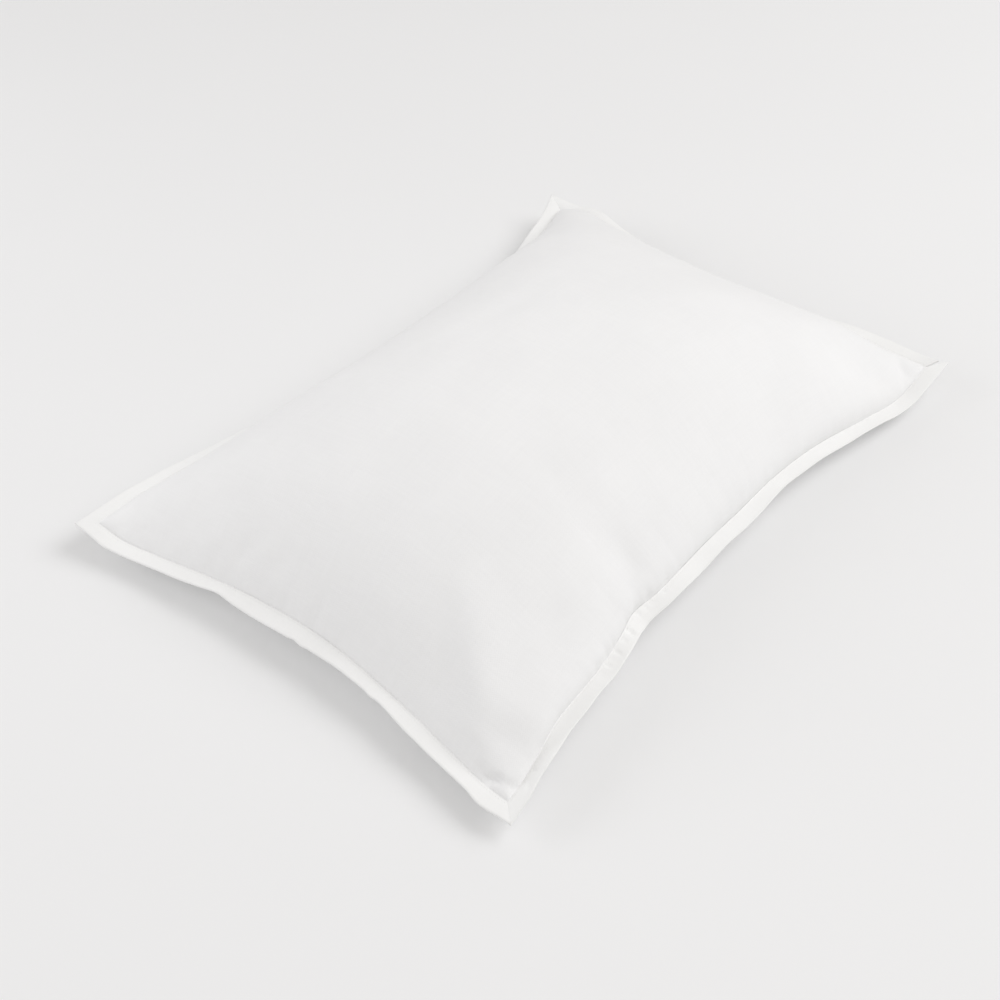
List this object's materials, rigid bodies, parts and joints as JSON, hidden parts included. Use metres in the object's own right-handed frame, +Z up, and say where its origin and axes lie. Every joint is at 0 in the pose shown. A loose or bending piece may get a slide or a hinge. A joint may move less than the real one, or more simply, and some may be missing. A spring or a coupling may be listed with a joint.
{
  "type": "filled pillowcase",
  "caption": "Plump white cotton pillowcase lying on its back, with drawn-in sides and a narrow mitred flange round its edge.",
  "frame": {"origin": "middle of the footprint, on the surface that the case lies on", "axes": "+X along the long sides, +Y along the short sides, +Z up through the crown"},
  "size_m": [0.7107, 0.505, 0.1558],
  "materials": {
    "case_cotton": "matt white cotton percale",
    "flange_cotton": "matt white cotton percale, folded double"
  },
  "bodies": {
    "root": {"case_body": "case_cotton", "flange_left": "flange_cotton", "flange_right": "flange_cotton", "flange_front": "flange_cotton", "flange_back": "flange_cotton"}
  },
  "joints": []
}
